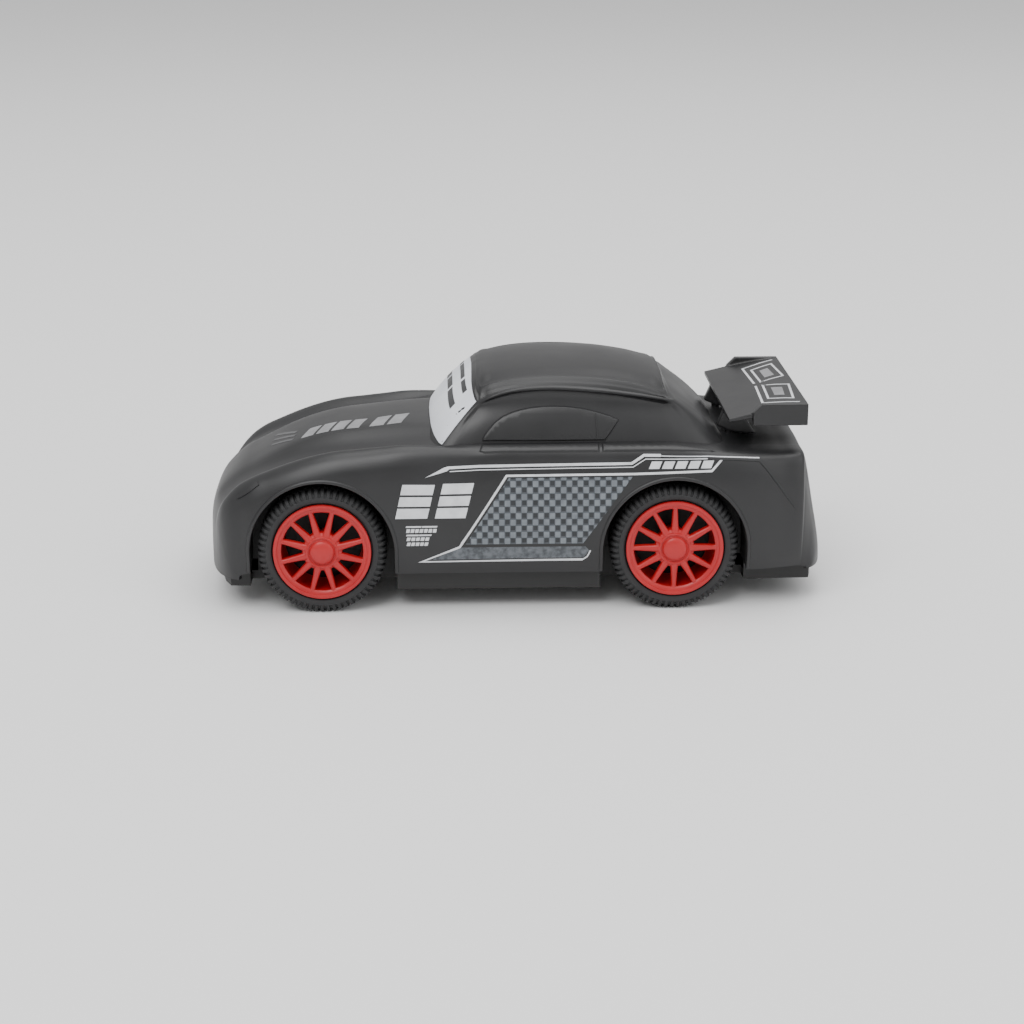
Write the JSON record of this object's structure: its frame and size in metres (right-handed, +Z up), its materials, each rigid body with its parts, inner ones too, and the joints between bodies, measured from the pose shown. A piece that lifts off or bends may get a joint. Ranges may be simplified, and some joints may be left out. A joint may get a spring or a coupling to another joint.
{
  "type": "pull back car",
  "caption": "Small sports coupe with a rear wing and spoked wheels; a wound spring and gears in a case drive its rear axle after it is pulled back.",
  "frame": {"origin": "on the ground under the middle of the car, at the bottom centre of its box", "axes": "+X towards the tail along the car, +Y towards its right side, +Z up"},
  "size_m": [0.1412, 0.06, 0.0538],
  "materials": {
    "black_plastic": "satin moulded plastic with silver and grey print",
    "chassis_plastic": "fine grained moulded plastic",
    "red_plastic": "satin moulded plastic",
    "tyre": "matte soft plastic with tread lugs",
    "white_nylon": "natural nylon",
    "steel": "bright zinc plate",
    "spring_steel": "blued spring strip"
  },
  "bodies": {
    "car": {"body_shell": "black_plastic", "rear_wing": "black_plastic", "chassis": "chassis_plastic", "front_axle_keeper": "chassis_plastic", "motor_case_left": "chassis_plastic", "motor_case_right": "chassis_plastic", "body_screw_front": "steel", "body_screw_left": "steel", "body_screw_right": "steel", "body_screw_rear": "steel", "motor_screw_front": "steel", "motor_screw_rear": "steel", "keeper_screw_left": "steel", "keeper_screw_right": "steel", "case_screw_lower": "steel", "case_screw_upper": "steel", "mainspring": "spring_steel"},
    "front_wheels": {"front_axle": "steel", "front_left_rim": "red_plastic", "front_right_rim": "red_plastic", "front_left_tyre": "tyre", "front_right_tyre": "tyre"},
    "rear_wheels": {"rear_axle": "steel", "rear_left_rim": "red_plastic", "rear_right_rim": "red_plastic", "rear_left_tyre": "tyre", "rear_right_tyre": "tyre", "axle_gear": "white_nylon"},
    "clutch_carrier": {"clutch_pin": "steel"},
    "clutch_wheel": {"clutch_gear": "white_nylon"},
    "spring_wheel": {"great_gear": "white_nylon", "spring_arbor": "steel"}
  },
  "joints": [
    {"name": "front_wheels_spin", "type": "hinge", "parent": "car", "child": "front_wheels", "pos_m": [-0.0441, 0, 0.0145], "axis": [0, 1, 0], "continuous": true},
    {"name": "rear_wheels_spin", "type": "hinge", "parent": "car", "child": "rear_wheels", "pos_m": [0.0351, 0, 0.0145], "axis": [0, 1, 0], "continuous": true},
    {"name": "clutch_swing", "type": "hinge", "parent": "car", "child": "clutch_carrier", "pos_m": [0.0351, 0, 0.0145], "axis": [0, 1, 0], "range_deg": [-8.4, 0]},
    {"name": "clutch_gear_spin", "type": "hinge", "parent": "clutch_carrier", "child": "clutch_wheel", "pos_m": [0.0281, 0, 0.0145], "axis": [0, 1, 0], "continuous": true},
    {"name": "great_gear_spin", "type": "hinge", "parent": "car", "child": "spring_wheel", "pos_m": [0.0281, 0, 0.0255], "axis": [0, 1, 0], "continuous": true, "deforming": ["mainspring"]}
  ],
  "couplings": [
    {"joint": "clutch_gear_spin", "follows": "rear_wheels_spin", "ratio": -0.4},
    {"joint": "great_gear_spin", "follows": "rear_wheels_spin", "ratio": 0.15}
  ]
}
